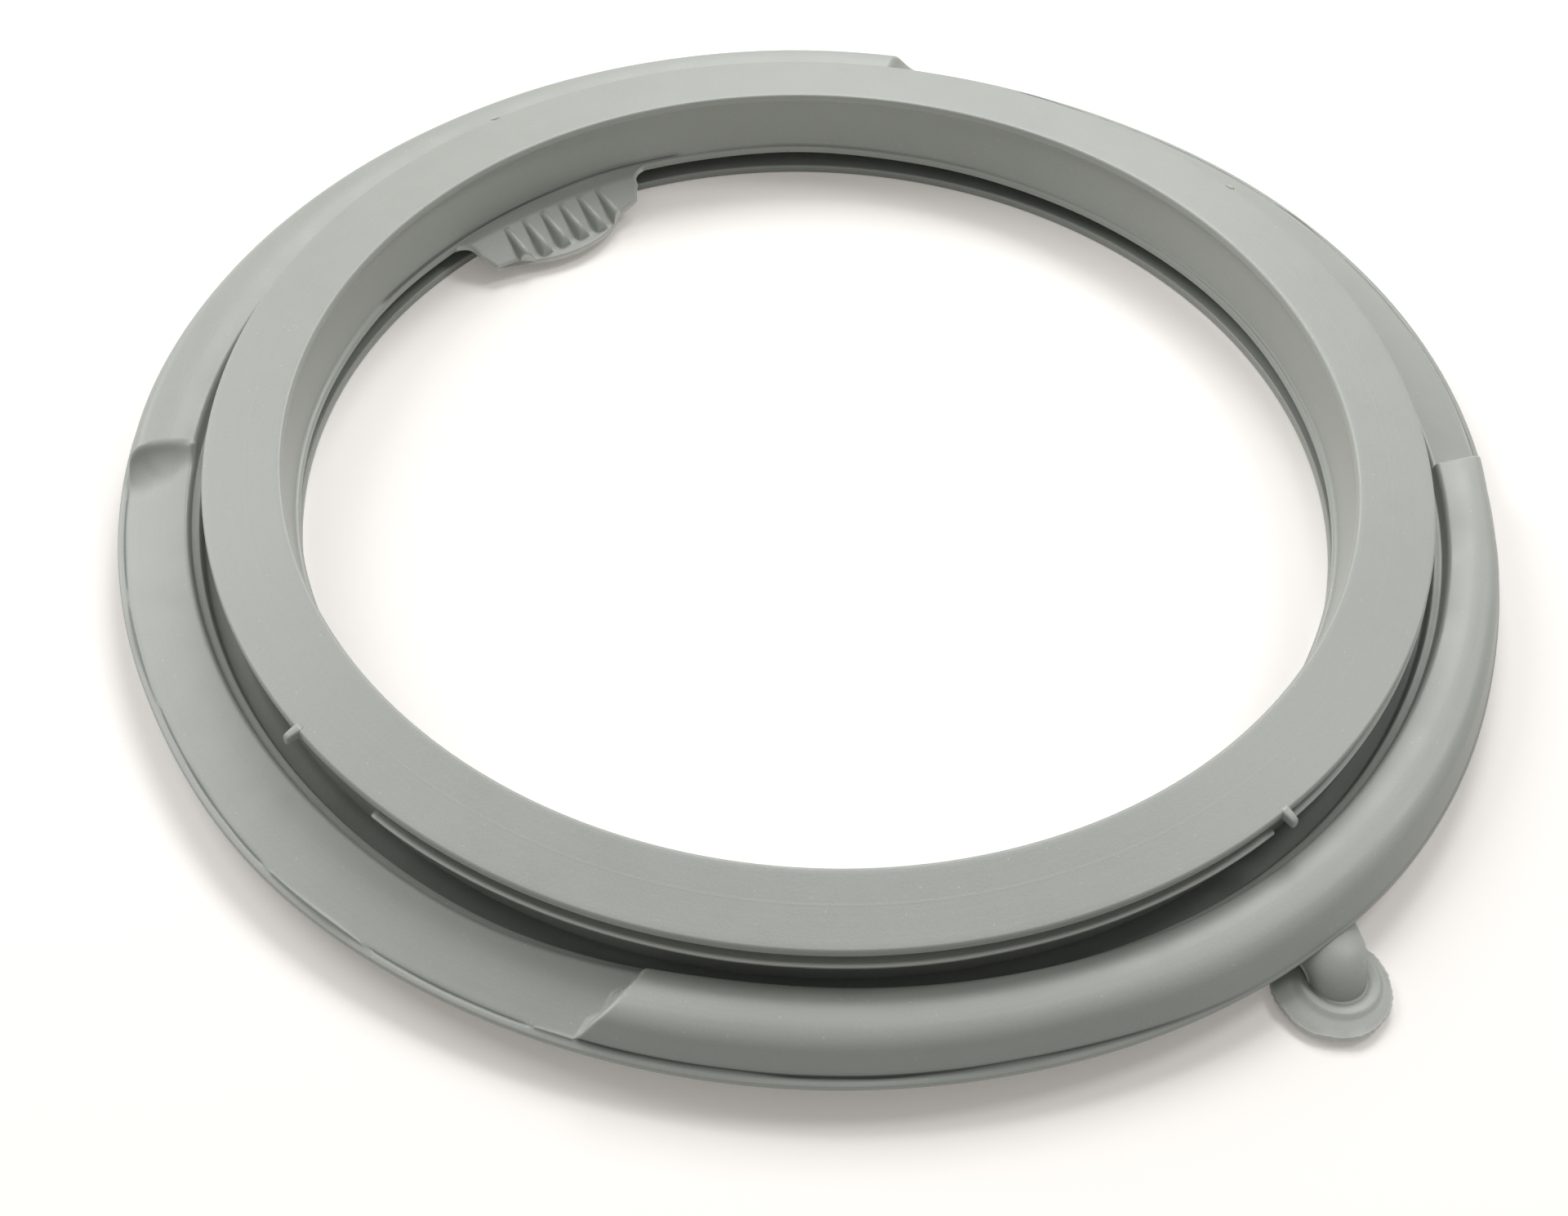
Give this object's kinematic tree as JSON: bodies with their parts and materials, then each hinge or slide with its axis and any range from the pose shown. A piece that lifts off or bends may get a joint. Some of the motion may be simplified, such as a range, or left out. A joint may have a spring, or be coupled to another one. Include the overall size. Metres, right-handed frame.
{
  "type": "washing machine door gasket",
  "caption": "Moulded rubber door gasket for a front-loading washing machine, with a ribbed tab and a drain spigot.",
  "frame": {"origin": "on the axis of the throat, in the plane of the rear face that it lies on", "axes": "+Z along the throat's axis towards the front ring, -Y towards the drain spigot"},
  "size_m": [0.3904, 0.4125, 0.0298],
  "materials": {
    "rubber": "matt grey moulded rubber"
  },
  "bodies": {
    "root": {"door_gasket": "rubber"}
  },
  "joints": []
}
